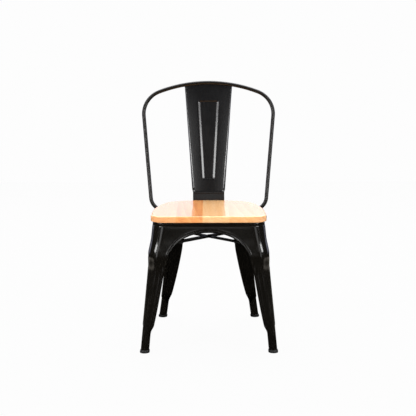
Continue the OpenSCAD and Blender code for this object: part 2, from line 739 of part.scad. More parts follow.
splat_zs = concat(
    [foot_low_z, pan_z - 4.5, pan_z - 0.5, splat_bend_z, splat_bend_z + 4, splat_bend_z + 8],
    [for (i = [0 : 3]) panel_low_z + panel_wall * i / 3],
    [lerp(panel_low_z, panel_top_z, 0.5)],
    [for (f = [1.3, 1, 0.75, 0.5, 0.25, 0]) panel_top_z - panel_round * f]
);
module back_splat() {
    color(steel)
        difference() {
            sheet(concat([for (z = splat_zs) splat_ring(z)], [splat_ring(splat_top_z, top = true)]));
            splat_bolt_places() drill(bolt_d);
        }
}
splat_head = rim_out + 2 * lap + splat_t;
splat_grip = splat_head - nut_place + thread_out;
module splat_bolts() {
    color(zinc) splat_bolt_places() translate([0, 0, splat_head]) bolt(splat_grip);
}
module splat_nuts() {
    color(zinc) splat_bolt_places() translate([0, 0, nut_place]) nut();
}

seat_board_1();
seat_board_2();
seat_board_3();
seat_board_4();
seat_board_5();
seat_screws();
seat_pan();
front_apron();
rear_apron();
left_apron();
right_apron();
front_left_leg();
front_right_leg();
rear_left_leg();
rear_right_leg();
front_left_foot_cap();
front_right_foot_cap();
rear_left_foot_cap();
rear_right_foot_cap();
upper_brace_bar();
lower_brace_bar();
brace_rivet();
back_hoop();
left_hoop_saddle();
right_hoop_saddle();
hoop_bolts();
hoop_nuts();
back_splat();
splat_bolts();
splat_nuts();
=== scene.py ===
# %% [markdown]
# # A stacking dining chair of folded sheet steel
# The chair has a black powder-coated frame, a bent tube back with a pressed steel splat, and a seat glued
# up from five boards under clear lacquer. The CAD solids give every size. This file dresses them: the
# pressed pieces are made again with more rows and columns by the same rules, so that gloss runs smoothly
# over them, and each finish is built from nodes. Sizes below are in millimetres, and Blender gets metres.

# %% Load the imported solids
import bpy
import bmesh
import math
import numpy as np
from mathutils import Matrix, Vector


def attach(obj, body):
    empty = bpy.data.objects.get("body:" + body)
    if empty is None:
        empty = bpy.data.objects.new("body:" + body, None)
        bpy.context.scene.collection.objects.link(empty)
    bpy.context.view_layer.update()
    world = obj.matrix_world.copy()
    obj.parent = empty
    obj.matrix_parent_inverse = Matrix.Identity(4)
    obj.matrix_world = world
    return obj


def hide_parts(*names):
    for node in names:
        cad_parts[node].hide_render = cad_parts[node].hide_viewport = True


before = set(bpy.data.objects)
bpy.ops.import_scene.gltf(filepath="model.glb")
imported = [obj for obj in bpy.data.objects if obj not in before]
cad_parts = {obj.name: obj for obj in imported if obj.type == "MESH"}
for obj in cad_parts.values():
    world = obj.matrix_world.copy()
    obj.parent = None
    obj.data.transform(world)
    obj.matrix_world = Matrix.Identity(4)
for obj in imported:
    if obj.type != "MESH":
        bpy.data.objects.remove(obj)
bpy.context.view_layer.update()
scene = bpy.context.scene
MM = 0.001


# %% [markdown]
# ## Colours and nodes
# A colour is written as people read it, in sRGB hex. Blender's shaders work in linear light, so one
# function turns it. A material could be clicked together in the node editor, but a script can be run again.
# So one small function adds a node of any kind, sets its values and joins its inputs.

# %% Helpers for materials
def linear(hex_colour):
    parts = [int(hex_colour[i:i + 2], 16) / 255 for i in (1, 3, 5)]
    return tuple(p / 12.92 if p <= 0.04045 else ((p + 0.055) / 1.055) ** 2.4 for p in parts) + (1.0,)


def add(tree, kind, settings=None, **inputs):
    """Adds a node. A colour ramp's stops are a setting, and an input goes by its name, or by its number as i0, i1."""
    node = tree.nodes.new(kind)
    for key, value in (settings or {}).items():
        if key != "stops":
            setattr(node, key, value)
            continue
        elements = node.color_ramp.elements
        while len(elements) < len(value):
            elements.new(0.5)
        for element, (place, colour) in zip(elements, value):
            element.position = place
            element.color = colour
    for key, value in inputs.items():
        by_number = key[0] == "i" and key[1:].isdigit()
        socket = node.inputs[int(key[1:]) if by_number else key.replace("_", " ")]
        if isinstance(value, bpy.types.NodeSocket):
            tree.links.new(value, socket)
        else:
            socket.default_value = value
    return node


def link(name, data):
    """Puts a new object with this data into the scene."""
    item = bpy.data.objects.new(name, data)
    scene.collection.objects.link(item)
    return item


def new_material(name):
    material = bpy.data.materials.new(name)
    material.use_nodes = True
    material.node_tree.nodes.clear()
    return material, material.node_tree


print("middle grey in linear light", linear("#808080"))


# %% [markdown]
# ## Powder coat
# The steel is sprayed with black polyester powder and baked. The powder melts into a smooth skin with a
# faint ripple, called orange peel, about 2 mm from crest to crest. Its gloss is a plain dielectric one.
# An image of a painted sheet would do from afar, but it repeats. So two noises give it life: a slow one
# changes the roughness where hands and cloths have rubbed, and a fine one ripples the surface. In the
# photograph the splat is a more neutral black than the legs, and the tube and the braces are duller, so each
# of them has a coat of its own.

# %% Black powder coat
# Nearly all values of a noise lie between these two.
NOISE_LOW, NOISE_HIGH = 0.3, 0.7
OVER_NOISE = {"From_Min": NOISE_LOW, "From_Max": NOISE_HIGH}


def two_stops(dark, light):
    return {"stops": [(NOISE_LOW, linear(dark)), (NOISE_HIGH, linear(light))]}


def powder_coat(name, dark, light, rough_low, rough_high, ripple=0.04, ior=1.5):
    material, tree = new_material(name)
    place = add(tree, "ShaderNodeTexCoord").outputs["Object"]
    slow = add(tree, "ShaderNodeTexNoise", Vector=place, Scale=1 / (60 * MM), Detail=3.0, Roughness=0.6)
    peel = add(tree, "ShaderNodeTexNoise", Vector=place, Scale=1 / (2.2 * MM), Detail=1.0, Roughness=0.4)
    colour = add(tree, "ShaderNodeValToRGB", two_stops(dark, light), i0=slow.outputs["Fac"])
    rough = add(
        tree, "ShaderNodeMapRange", Value=slow.outputs["Fac"], **OVER_NOISE, To_Min=rough_low, To_Max=rough_high)
    bump = add(tree, "ShaderNodeBump", Strength=ripple, Distance=0.1 * MM, Height=peel.outputs["Fac"])
    skin = add(
        tree, "ShaderNodeBsdfPrincipled", Base_Color=colour.outputs["Color"], Roughness=rough.outputs["Result"],
        Normal=bump.outputs["Normal"], IOR=ior)
    add(tree, "ShaderNodeOutputMaterial", Surface=skin.outputs["BSDF"])
    return material


steel_coat = powder_coat("black_powder_coat_on_steel", "#0d0b08", "#110f0c", 0.12, 0.15)
back_coat = powder_coat("black_powder_coat_on_back", "#101011", "#141415", 0.15, 0.18)
hoop_coat = powder_coat("black_powder_coat_on_tube", "#0e0b08", "#120f0b", 0.24, 0.28, ripple=0.01, ior=1.4)
brace_coat = powder_coat("dull_powder_coat_on_braces", "#0d0b08", "#110f0c", 0.5, 0.6)
print("materials", steel_coat.name, back_coat.name, hoop_coat.name, brace_coat.name)


# %% [markdown]
# ## Lacquered wood
# The boards are a pale rubberwood, sawn along the grain and glued edge to edge. The grain runs from front to
# back. A photograph of wood would show its seams, so the grain is drawn by textures stretched along Y: a wave
# for the growth rings, a long noise for the broad bands, a fine one for the streaks, and short dark dashes for
# the pores. Each board takes its own place in them and its own share of rings. Clear lacquer lies over it as
# a coat: it is what mirrors the white room on the seat.

# %% One board's wood
def board_wood(name, pale, mid, dark, offset, figure):
    material, tree = new_material(name)
    place = add(tree, "ShaderNodeTexCoord").outputs["Object"]
    along = add(tree, "ShaderNodeMapping", Vector=place, Location=offset, Scale=(1.0, 0.07, 1.0)).outputs["Vector"]
    bands = add(tree, "ShaderNodeTexNoise", Vector=along, Scale=1 / (35 * MM), Detail=3.0, Roughness=0.55)
    rings = add(
        tree, "ShaderNodeTexWave", {"wave_type": "BANDS", "bands_direction": "DIAGONAL", "wave_profile": "SAW"},
        Vector=along, Scale=1 / (52 * MM), Distortion=5.5, Detail=3.0, Detail_Scale=1.3, Detail_Roughness=0.6)
    streaks = add(tree, "ShaderNodeTexNoise", Vector=along, Scale=1 / (5 * MM), Detail=4.0, Roughness=0.65)
    thin = add(tree, "ShaderNodeMapping", Vector=place, Location=offset, Scale=(1.0, 0.05, 1.0)).outputs["Vector"]
    pores = add(tree, "ShaderNodeTexNoise", Vector=thin, Scale=1 / (1.1 * MM), Detail=1.0, Roughness=0.5)
    body = add(
        tree, "ShaderNodeMix", {"data_type": "FLOAT"},
        i0=figure, i2=bands.outputs["Fac"], i3=rings.outputs["Fac"]).outputs[0]
    mixed = add(tree, "ShaderNodeMix", {"data_type": "FLOAT"}, i0=0.35, i2=body, i3=streaks.outputs["Fac"]).outputs[0]
    grain = {"stops": [(0.25, linear(dark)), (0.5, linear(mid)), (0.72, linear(pale))]}
    colour = add(tree, "ShaderNodeValToRGB", grain, i0=mixed)
    specks = {"stops": [(0.32, (0.62, 0.5, 0.4, 1)), (0.42, (1, 1, 1, 1))]}
    dashes = add(tree, "ShaderNodeValToRGB", specks, i0=pores.outputs["Fac"])
    wood = add(
        tree, "ShaderNodeMix", {"data_type": "RGBA", "blend_type": "MULTIPLY"},
        i0=0.55, i6=colour.outputs["Color"], i7=dashes.outputs["Color"]).outputs[2]
    rough = add(tree, "ShaderNodeMapRange", Value=streaks.outputs["Fac"], **OVER_NOISE, To_Min=0.34, To_Max=0.46)
    bump = add(tree, "ShaderNodeBump", Strength=0.05, Distance=0.1 * MM, Height=mixed)
    skin = add(
        tree, "ShaderNodeBsdfPrincipled", Base_Color=wood, Roughness=rough.outputs["Result"],
        Normal=bump.outputs["Normal"], IOR=1.5, Coat_Weight=1.0, Coat_Roughness=0.09, Coat_IOR=1.5)
    add(tree, "ShaderNodeOutputMaterial", Surface=skin.outputs["BSDF"])
    return material


# Pale, middle and dark wood, the place in the pattern, and the share of rings, from the left board to the right.
board_looks = [
    ("#fcbb80", "#f6ae70", "#ec9f62", (0.00, 0.00, 0.00), 0.15),
    ("#feb877", "#f6a45e", "#e0844a", (0.31, 0.17, 0.05), 0.25),
    ("#ffd09c", "#fcc589", "#f4b676", (0.66, 0.41, 0.11), 0.20),
    ("#fec690", "#f9bb7d", "#eca664", (0.92, 0.73, 0.21), 0.30),
    ("#fec590", "#fabb80", "#eeab6e", (1.27, 0.99, 0.31), 0.20),
]
woods = [board_wood("lacquered_rubberwood_board_%d" % (i + 1), *look) for i, look in enumerate(board_looks)]
print("woods", [m.name for m in woods])


# %% [markdown]
# ## Rubber and zinc
# The foot caps are moulded rubber: matt, with a fine grain from the mould. The screws,
# bolts and nuts are steel with a black zinc finish, a thin metallic skin that keeps the turning marks.
# Both are small, so one noise is enough for each.

# %% Moulded rubber and black zinc
def moulded_rubber():
    material, tree = new_material("moulded_black_rubber")
    place = add(tree, "ShaderNodeTexCoord").outputs["Object"]
    grain = add(tree, "ShaderNodeTexNoise", Vector=place, Scale=1 / (0.7 * MM), Detail=2.0, Roughness=0.6)
    colour = add(tree, "ShaderNodeValToRGB", two_stops("#0b0b0b", "#171717"), i0=grain.outputs["Fac"])
    bump = add(tree, "ShaderNodeBump", Strength=0.2, Distance=0.1 * MM, Height=grain.outputs["Fac"])
    skin = add(
        tree, "ShaderNodeBsdfPrincipled", Base_Color=colour.outputs["Color"], Roughness=0.6,
        Normal=bump.outputs["Normal"], IOR=1.52)
    add(tree, "ShaderNodeOutputMaterial", Surface=skin.outputs["BSDF"])
    return material


def black_zinc():
    material, tree = new_material("black_zinc_on_steel")
    place = add(tree, "ShaderNodeTexCoord").outputs["Object"]
    marks = add(tree, "ShaderNodeTexNoise", Vector=place, Scale=1 / (0.6 * MM), Detail=2.0, Roughness=0.6)
    colour = add(tree, "ShaderNodeValToRGB", two_stops("#2c2c2e", "#48484b"), i0=marks.outputs["Fac"])
    rough = add(tree, "ShaderNodeMapRange", Value=marks.outputs["Fac"], **OVER_NOISE, To_Min=0.28, To_Max=0.42)
    skin = add(
        tree, "ShaderNodeBsdfPrincipled", Base_Color=colour.outputs["Color"], Roughness=rough.outputs["Result"],
        Metallic=1.0)
    add(tree, "ShaderNodeOutputMaterial", Surface=skin.outputs["BSDF"])
    return material


rubber = moulded_rubber()
zinc = black_zinc()
print("materials", rubber.name, zinc.name)


# %% [markdown]
# ## Numbers of the frame
# A leg is worked out in a quarter where u and v both point outwards, and then mirrored into place. Its section
# is a corner with two wings; towards the floor the wings curl round into a tube. The sizes are those of the
# CAD source, so what is drawn here lies on the CAD solids.

# %% Sizes in millimetres
SHEET_T, TUBE_R = 1.2, 13.5
# A leg is a round tube below TUBE_Z, and an open section above CLOSED_Z.
TUBE_Z, CLOSED_Z = 52.0, 88.0
# The pan's rim, where the legs stop spreading, the sheets' top edge, the pan's top and the seat's top.
RIM_Z, FULL_Z, TOP_Z, PAN_Z, SEAT_H = 395.0, 400.0, 403.0, 415.0, 435.0
FLUTE_LOW, FLUTE_HIGH, FLUTE_D, FLUTE_BLUNT = 76.0, 322.0, 4.5, 0.6
# The leg swells a little where the flute ends, and its corner opens from FLARE_Z upwards.
SWELL_Z, SWELL_LONG, SWELL_OUT, FLARE_Z = 308.0, 30, 4, 250
ARCH_Z, ARCH_FOOT_Z, ARCH_POWER, ARCH_INSET = 381.5, 282.0, 2.3, 4
# The sheet's top edge is ground round over EDGE_LONG, and draws in by EDGE_IN.
EDGE_LONG, EDGE_IN = 5.5, 1.15
EDGE_STEPS = (0.35, 0.6, 0.8, 0.92, 0.98, 1.0)
REAR_Y = 142.631
FRONT = {
    "apex": (180, 201.5), "foot": (205, 223.3), "bow": 0, "radius": 41.5, "radius_rate": 1.3,
    "wing": 61.5, "wing_rate": 0.6, "flare": 0}
REAR = {
    "apex": (136.7, 118.7), "foot": (166.25, 222.7), "bow": 4.6, "radius": 81.5, "radius_rate": 2,
    "wing": 66.5, "wing_rate": 0.7, "flare": 17}
# A sheet's edge as distance from the edge and height over the sheet: rolled to a bead, and plain.
BEAD_W, BEAD_FADE = 14, 24
BEAD_ROLLED = np.array([(0, -2.5), (0.8, 0.4), (2.6, 1.8), (5, 1.7), (8.2, -0.5), (11.2, 0.5), (BEAD_W, 0)])
BEAD_PLAIN = np.array([(0, 0), (1.4, 0), (2.8, 0), (5, 0), (8.2, 0), (11.2, 0), (BEAD_W, 0)])


# %% Rules shared by the pressed pieces
def lerp(a, b, t):
    return a + (b - a) * t


def smooth(t):
    t = min(max(t, 0.0), 1.0)
    return t * t * (3 - 2 * t)


def direction(degrees):
    r = math.radians(degrees)
    return np.array((math.cos(r), math.sin(r)))


def through(points, per):
    """A smooth line through points, with per samples in each span."""
    p = np.vstack([2 * points[0] - points[1], points, 2 * points[-1] - points[-2]])
    line = []
    for i in range(len(points) - 1):
        a, b, c, d = p[i], p[i + 1], p[i + 2], p[i + 3]
        for t in np.arange(per) / per:
            square, cube = (2 * a - 5 * b + 4 * c - d) * t * t, (3 * b - a - 3 * c + d) * t ** 3
            line.append(0.5 * (2 * b + (c - a) * t + square + cube))
    return np.array(line + [points[-1]])


def rise(z):
    return min(max((z - TUBE_Z) / (FULL_Z - TUBE_Z), 0.0), 1.0)


def apex(leg, z):
    """Where the leg's two wings would meet if its corner were sharp."""
    q = min(z, FULL_Z) / FULL_Z
    s = (z - SWELL_Z) / SWELL_LONG
    base = np.array(leg["foot"]) + TUBE_R
    return lerp(base, np.array(leg["apex"]), q) + SWELL_OUT * math.exp(-s * s) - 4 * leg["bow"] * q * (1 - q)


def half_angle(leg, z):
    return 45 + leg["flare"] * smooth((z - FLARE_Z) / (FULL_Z - FLARE_Z))


def corner_r(leg, z):
    return lerp(TUBE_R, leg["radius"], rise(z) ** leg["radius_rate"])


def wing_dir(leg, z, side):
    return direction(225 + side * half_angle(leg, z))


def wing_end(leg, z, side):
    return apex(leg, z) + lerp(2 * TUBE_R, leg["wing"], rise(z) ** leg["wing_rate"]) * wing_dir(leg, z, side)


def corner_centre(leg, z):
    return apex(leg, z) - direction(45) * (corner_r(leg, z) / math.sin(math.radians(half_angle(leg, z))))


def flute(z):
    """The flute's depth: blunt at its ends, so that it is deep for most of its length."""
    q = min(max((z - FLUTE_LOW) / (FLUTE_HIGH - FLUTE_LOW), 0.0), 1.0)
    return FLUTE_D * max(math.sin(math.pi * q), 0.0) ** FLUTE_BLUNT


def edge_round(z):
    """How far the outer face draws in below the sheet's top edge."""
    t = min(max((z - TOP_Z + EDGE_LONG) / EDGE_LONG, 0.0), 1.0)
    return EDGE_IN * (1.0 - math.sqrt(1 - t * t))


print("front corner under the seat", apex(FRONT, FULL_Z), "rear", apex(REAR, FULL_Z))


# %% [markdown]
# ## Sheets
# A sheet could be a plane under a Solidify modifier, but its top edge is ground round, so its thickness isn't
# even. So it is a grid of points for its outer face and one for its inner face, with a strip along each border.
# Quads in long rows keep the highlights straight, which triangles would break up.

# %% Turn two grids of points into a sheet
WELD = 0.002 * MM


def finish_mesh(name, points, faces, material, sharp=35):
    mesh = bpy.data.meshes.new(name)
    mesh.from_pydata([tuple(float(c) * MM for c in p) for p in points], [], faces)
    work = bmesh.new()
    work.from_mesh(mesh)
    bmesh.ops.remove_doubles(work, verts=work.verts, dist=WELD)
    bmesh.ops.recalc_face_normals(work, faces=work.faces)
    work.to_mesh(mesh)
    work.free()
    mesh.shade_smooth()
    mesh.set_sharp_from_angle(angle=math.radians(sharp))
    mesh.materials.append(material)
    return link(name, mesh)


def sheet(name, outer, inner, material, sharp=35):
    rows, cols = outer.shape[:2]
    n = rows * cols
    at = np.arange(n).reshape(rows, cols)
    faces = []
    for r in range(rows - 1):
        for c in range(cols - 1):
            quad = (at[r, c], at[r, c + 1], at[r + 1, c + 1], at[r + 1, c])
            faces.append(tuple(int(q) for q in quad))
            faces.append(tuple(int(q) + n for q in reversed(quad)))
    border = list(at[0, :]) + list(at[1:, -1]) + list(at[-1, -2::-1]) + list(at[-2:0:-1, 0])
    for a, b in zip(border, border[1:] + border[:1]):
        faces.append((int(b), int(a), int(a) + n, int(b) + n))
    return finish_mesh(name, np.vstack([outer.reshape(-1, 3), inner.reshape(-1, 3)]), faces, material, sharp)


def rings_to_mesh(name, rings, material, sharp=35):
    """A closed skin over rings of the same number of points, with a flat face at each end."""
    n = len(rings[0])
    faces = [tuple(range(n)), tuple(range((len(rings) - 1) * n, len(rings) * n))]
    for r in range(len(rings) - 1):
        for i in range(n):
            j = (i + 1) % n
            faces.append((r * n + i, r * n + j, (r + 1) * n + j, (r + 1) * n + i))
    return finish_mesh(name, np.vstack(rings), faces, material, sharp)


def ride_as(piece, slot, *nodes):
    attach(piece, "root")
    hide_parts(*nodes)
    print(piece.name, len(piece.data.polygons), "faces")


# %% [markdown]
# ## Legs
# Each leg is one folded sheet. Its outer corner carries a long pressed flute, shaped like a lens, that
# stiffens it, and its edges have a rolled bead. Near the floor the sheet closes into a round tube. Sculpting
# or loop cuts would leave dents in the gloss, so each height gets a section worked out by one rule.

# %% A leg's section at one height
BEAD_SPAN_STEPS, CORNER_STEPS = 4, 32
# For each wing: its side, and the degrees on the tube's circle where it starts and ends.
WING_ARCS = ((1, -131, -18), (-1, 221, 108))


def bead(k):
    return through(lerp(BEAD_PLAIN, BEAD_ROLLED, k), BEAD_SPAN_STEPS)


def bead_fade(z):
    return 1 - smooth((z - ARCH_FOOT_Z + BEAD_FADE) / BEAD_FADE)


def lean(leg):
    """The tube's step sideways for each millimetre upwards."""
    return (np.array(leg["apex"]) - np.array(leg["foot"]) - TUBE_R - 4 * leg["bow"]) / FULL_Z


def round_across(leg, p):
    """Stretches a level ring along the lean, so that the leaning tube is round across its own axis."""
    s = lean(leg)
    n = math.hypot(*s)
    return p + s * ((p @ s) / (n * n)) * (math.sqrt(1 + n * n) - 1)


def leg_line(leg, z, depth):
    line = []
    k = smooth((CLOSED_Z - z) / (CLOSED_Z - TUBE_Z))
    beads = bead(bead_fade(z))
    tube_c = apex(leg, z) - TUBE_R
    half = half_angle(leg, z)
    for side, first, last in WING_ARCS:
        e = -wing_dir(leg, z, side)
        out = direction(45 + side * (half - 90))
        wing = []
        for i, (along, height) in enumerate(beads):
            h = height if depth == 0 else min(height, 0.0) - depth
            turn = lerp(first, last, i / (len(beads) - 1))
            tube = tube_c + round_across(leg, (TUBE_R - depth) * direction(turn))
            wing.append(lerp(wing_end(leg, z, side) + e * along + out * h, tube, k))
        line.append(wing)
    corner = []
    for i in range(CORNER_STEPS + 1):
        t = i / CORNER_STEPS
        w = math.sin(math.pi * t)
        turn = lerp(half - 45, 135 - half, t)
        open_p = corner_centre(leg, z) + direction(turn) * (corner_r(leg, z) - flute(z) * w * w - depth)
        tube = tube_c + round_across(leg, (TUBE_R - depth) * direction(90 * t))
        corner.append(lerp(open_p, tube, k))
    return np.array(line[0] + corner + line[1][::-1])


leg_heights = np.concatenate([
    [3.2, 16, 28, 40], np.linspace(TUBE_Z, CLOSED_Z, 15), np.linspace(CLOSED_Z, ARCH_FOOT_Z - BEAD_FADE, 22)[1:],
    np.linspace(ARCH_FOOT_Z - BEAD_FADE, ARCH_FOOT_Z, 7)[1:], np.linspace(ARCH_FOOT_Z, FULL_Z, 25)[1:],
    [lerp(FULL_Z, TOP_Z, t) for t in EDGE_STEPS]])


def leg_grid(leg, depth, quarter):
    rows = []
    for z in leg_heights:
        line = leg_line(leg, z, depth if depth else edge_round(z)) * np.array(quarter)
        rows.append(np.column_stack([line, np.full(len(line), z)]))
    return np.array(rows)


print("a leg has", len(leg_heights), "rows")


# %% Make the four legs
LEGS = (
    ("front_left", FRONT, (-1, -1)), ("front_right", FRONT, (1, -1)),
    ("rear_left", REAR, (-1, 1)), ("rear_right", REAR, (1, 1)))

for place, leg, quarter in LEGS:
    name = place + "_leg"
    piece = sheet("pressed_" + name, leg_grid(leg, 0, quarter), leg_grid(leg, SHEET_T, quarter), steel_coat)
    ride_as(piece, "black_steel", name)


# %% [markdown]
# ## Aprons
# An apron spans from one leg's wing to the next and leaves each wing in the wing's own direction, so the
# gloss runs on over the seam. Its lower edge is an arch with the same rolled bead. An arch cut out of a plain
# sheet would have no rows for the bead to follow, so the grid's columns fan out from the arch.

# %% An apron's points
# Each leg with its quarter, by which wing, and how far the sheet holds the wings' direction.
RIGHT_SPAN = (FRONT, (1, -1), REAR, (1, 1), 1, 0.33)
REAR_SPAN = (REAR, (1, 1), REAR, (-1, 1), -1, 0.14)
FRONT_SPAN = (FRONT, (-1, -1), FRONT, (1, -1), -1, 0.33)


def span_point(span, s, z):
    leg_a, quarter_a, leg_b, quarter_b, wing, hold = span
    a = wing_end(leg_a, z, wing) * quarter_a
    b = wing_end(leg_b, z, wing) * quarter_b
    reach = math.hypot(*(b - a)) * hold
    c = a + reach * wing_dir(leg_a, z, wing) * quarter_a
    d = b + reach * wing_dir(leg_b, z, wing) * quarter_b
    r = 1 - s
    return a * r ** 3 + c * 3 * r * r * s + d * 3 * r * s * s + b * s ** 3


def span_length(span):
    return math.hypot(*(span_point(span, 1, ARCH_FOOT_Z) - span_point(span, 0, ARCH_FOOT_Z)))


def span_out(span, s, z):
    step = span_point(span, min(s + 0.01, 1), z) - span_point(span, max(s - 0.01, 0), z)
    return np.array((step[1], -step[0])) / math.hypot(*step)


def arch_point(span, u):
    a = math.pi * (1 - u)
    half = 0.5 - ARCH_INSET / span_length(span)
    c = math.cos(a)
    return np.array((0.5 + half * math.copysign(abs(c) ** (2 / ARCH_POWER), c),
                     lerp(ARCH_FOOT_Z, ARCH_Z, abs(math.sin(a)) ** (2 / ARCH_POWER))))


SEAM_Z = list(np.linspace(ARCH_FOOT_Z, FULL_Z, 5)) + [TOP_Z]
SEAM_SPANS, TOP_SPANS = 5, 10
ALL_SPANS = 2 * SEAM_SPANS + TOP_SPANS
APRON_COLUMNS, FULL_BEAD = 97, 16


def apron_top(u):
    """Where column u ends: up one seam, along the top edge, or down the other seam."""
    i = u * ALL_SPANS
    if i < SEAM_SPANS:
        return np.array((0.0, np.interp(i, range(SEAM_SPANS + 1), SEAM_Z)))
    if i > SEAM_SPANS + TOP_SPANS:
        return np.array((1.0, np.interp(ALL_SPANS - i, range(SEAM_SPANS + 1), SEAM_Z)))
    return np.array(((i - SEAM_SPANS) / TOP_SPANS, TOP_Z))


def apron_grids(span):
    """The outer and the inner face. A column shorter than FULL_BEAD gets a smaller bead."""
    outer, inner = [], []
    for u in np.linspace(0, 1, APRON_COLUMNS):
        low, high = arch_point(span, u), apron_top(u)
        length = math.hypot((high[0] - low[0]) * span_length(span), high[1] - low[1])
        squeeze = min(1, length / FULL_BEAD)
        ends = BEAD_W * squeeze
        if high[1] > FULL_Z:
            at_full = length * (FULL_Z - low[1]) / (high[1] - low[1])
        else:
            # On a seam no row lies at FULL_Z, so a share of the column stands for it.
            at_full = lerp(ends, length, np.interp(min(u, 1 - u) * ALL_SPANS, (0, 4), (0.7, 0.99)))
        line = list(bead(1) * squeeze) + [(lerp(ends, at_full, t), 0) for t in np.arange(1, 9) / 8]
        line += [(lerp(at_full, length, t), 0) for t in EDGE_STEPS]
        column = []
        for along, height in line:
            s, z = lerp(low, high, along / length)
            p, out = span_point(span, s, z), span_out(span, s, z)
            column.append([
                np.append(p + out * (height - edge_round(z)), z),
                np.append(p + out * (min(height, 0) - SHEET_T), z)])
        outer.append([c[0] for c in column])
        inner.append([c[1] for c in column])
    return np.array(outer), np.array(inner)


print("the front arch spans", round(span_length(FRONT_SPAN)), "mm")


# %% Make the four aprons
right_outer, right_inner = apron_grids(RIGHT_SPAN)
flip = np.array((-1, 1, 1))
ride_as(sheet("pressed_right_apron", right_outer, right_inner, steel_coat), "black_steel", "right_apron")
ride_as(sheet("pressed_left_apron", right_outer * flip, right_inner * flip, steel_coat), "black_steel", "left_apron")
ride_as(sheet("pressed_front_apron", *apron_grids(FRONT_SPAN), steel_coat), "black_steel", "front_apron")
ride_as(sheet("pressed_rear_apron", *apron_grids(REAR_SPAN), steel_coat), "black_steel", "rear_apron")


# %% [markdown]
# ## Foot caps
# A rubber cup is pushed over the end of each tube. It is level at the floor and at its rim, though the tube
# leans. A Screw modifier would turn it round an upright axis, so each ring of its profile is placed on the
# leaning tube and stretched a little along the lean.

# %% Make the foot caps
CAP_SIDES = 48
# Radius and height, from the floor up the outside, over the rim and down the inside.
CAP_PROFILE = [
    (15, 0), (15.35, 0.25), (15.6, 0.8), (15.6, 4.5), (15.3, 8.3), (15.1, 8.8), (14.8, 9), (13.8, 9), (13.8, 3)]


def cap_ring(leg, r, z, quarter):
    c = apex(leg, z) - TUBE_R
    turns = np.linspace(0, 360, CAP_SIDES, endpoint=False)
    ring = [(c + round_across(leg, r * direction(a))) * quarter for a in turns]
    return np.column_stack([np.array(ring), np.full(CAP_SIDES, z)])


for place, leg, quarter in LEGS:
    name = place + "_foot_cap"
    rings = [cap_ring(leg, r, z, quarter) for r, z in CAP_PROFILE]
    ride_as(rings_to_mesh("rubber_" + name, rings, rubber, 50), "foot_cap", name)


# %% [markdown]
# ## Seat outline and pan
# The frame's outline at the seat is drawn once, and moved for each thing that follows it: the legs and aprons
# wrap the pan's rim, and the wood stands 4.5 mm over them. Scaling the outline would change its corners, so
# each point moves along its own normal. The pan is a shallow tray turned upside down.

# %% The outline and how it is moved outwards
ARC_STEPS, SPAN_STEPS = 24, 30


def corner_outline(leg):
    half = half_angle(leg, TOP_Z)
    turns = [lerp(half - 45, 135 - half, i / ARC_STEPS) for i in range(ARC_STEPS + 1)]
    return [corner_centre(leg, TOP_Z) + direction(a) * corner_r(leg, TOP_Z) for a in turns]


half_line = [p * (1, -1) for p in reversed(corner_outline(FRONT))]
half_line += [span_point(RIGHT_SPAN, s, TOP_Z) for s in np.arange(1, SPAN_STEPS) / SPAN_STEPS]
half_line += corner_outline(REAR)
half_line += [span_point(REAR_SPAN, s, TOP_Z) for s in np.arange(1, SPAN_STEPS // 2) / SPAN_STEPS]
half_line = np.array(half_line)
frame_outline = np.vstack([half_line, [span_point(REAR_SPAN, 0.5, TOP_Z)], half_line[::-1] * (-1, 1)])


def outline(d, z):
    """The outline at height z, moved outwards by d."""
    before = frame_outline - np.roll(frame_outline, 1, 0)
    after = np.roll(frame_outline, -1, 0) - frame_outline
    normals = [np.column_stack([v[:, 1], -v[:, 0]]) / np.linalg.norm(v, axis=1)[:, None] for v in (before, after)]
    m = normals[0] + normals[1]
    moved = frame_outline + m * (2 * d / (m * m).sum(1))[:, None]
    return np.column_stack([moved, np.full(len(moved), z)])


print("the outline has", len(frame_outline), "points")


# %% Make the seat pan
RIM_IN, RIM_OUT, RIM_ROUND, FLAT_UNDER, FLAT_TOP = -2.6, -1.4, 5.0, -15, -11


def quarter_round(r, z, out, steps):
    turns = np.linspace(0, math.pi / 2, steps + 1)
    return [outline(out - r * (1 - math.cos(a)), z - r + r * math.sin(a)) for a in turns]


pan_rings = [outline(FLAT_UNDER, PAN_Z - SHEET_T)]
pan_rings += quarter_round(RIM_ROUND - SHEET_T, PAN_Z - SHEET_T, RIM_IN, 8)[::-1]
pan_rings += [outline(RIM_IN, RIM_Z), outline(RIM_OUT, RIM_Z)]
pan_rings += quarter_round(RIM_ROUND, PAN_Z, RIM_OUT, 8) + [outline(FLAT_TOP, PAN_Z)]
ride_as(rings_to_mesh("pressed_seat_pan", pan_rings, steel_coat), "black_steel", "seat_pan")


# %% [markdown]
# ## Boards
# Such a seat is glued up first and then shaped. So one slab is skinned with a rounded upper edge,
# and then cut into five boards at the glue joints, so that each board can have its own wood. Shaping each board
# by itself would leave steps along the edge.

# %% Cut the slab into boards
SLAB_OUT, SLAB_ROUND = 4.5, 4.0
# The lower edge, as distance outwards and height over the pan.
LOWER_EDGE = [(-3.5, 0), (3, 0), (4.1, 0.5), (SLAB_OUT, 1.6), (SLAB_OUT, 9)]
GLUE_JOINTS = [-104, -19.5, 65, 149.5]

slab_rings = [outline(d, PAN_Z + up) for d, up in LOWER_EDGE] + quarter_round(SLAB_ROUND, SEAT_H, SLAB_OUT, 10)
slab_rings += [outline(-0.3, SEAT_H), outline(-7.5, SEAT_H)]
slab = rings_to_mesh("slab", slab_rings, woods[0], 50)


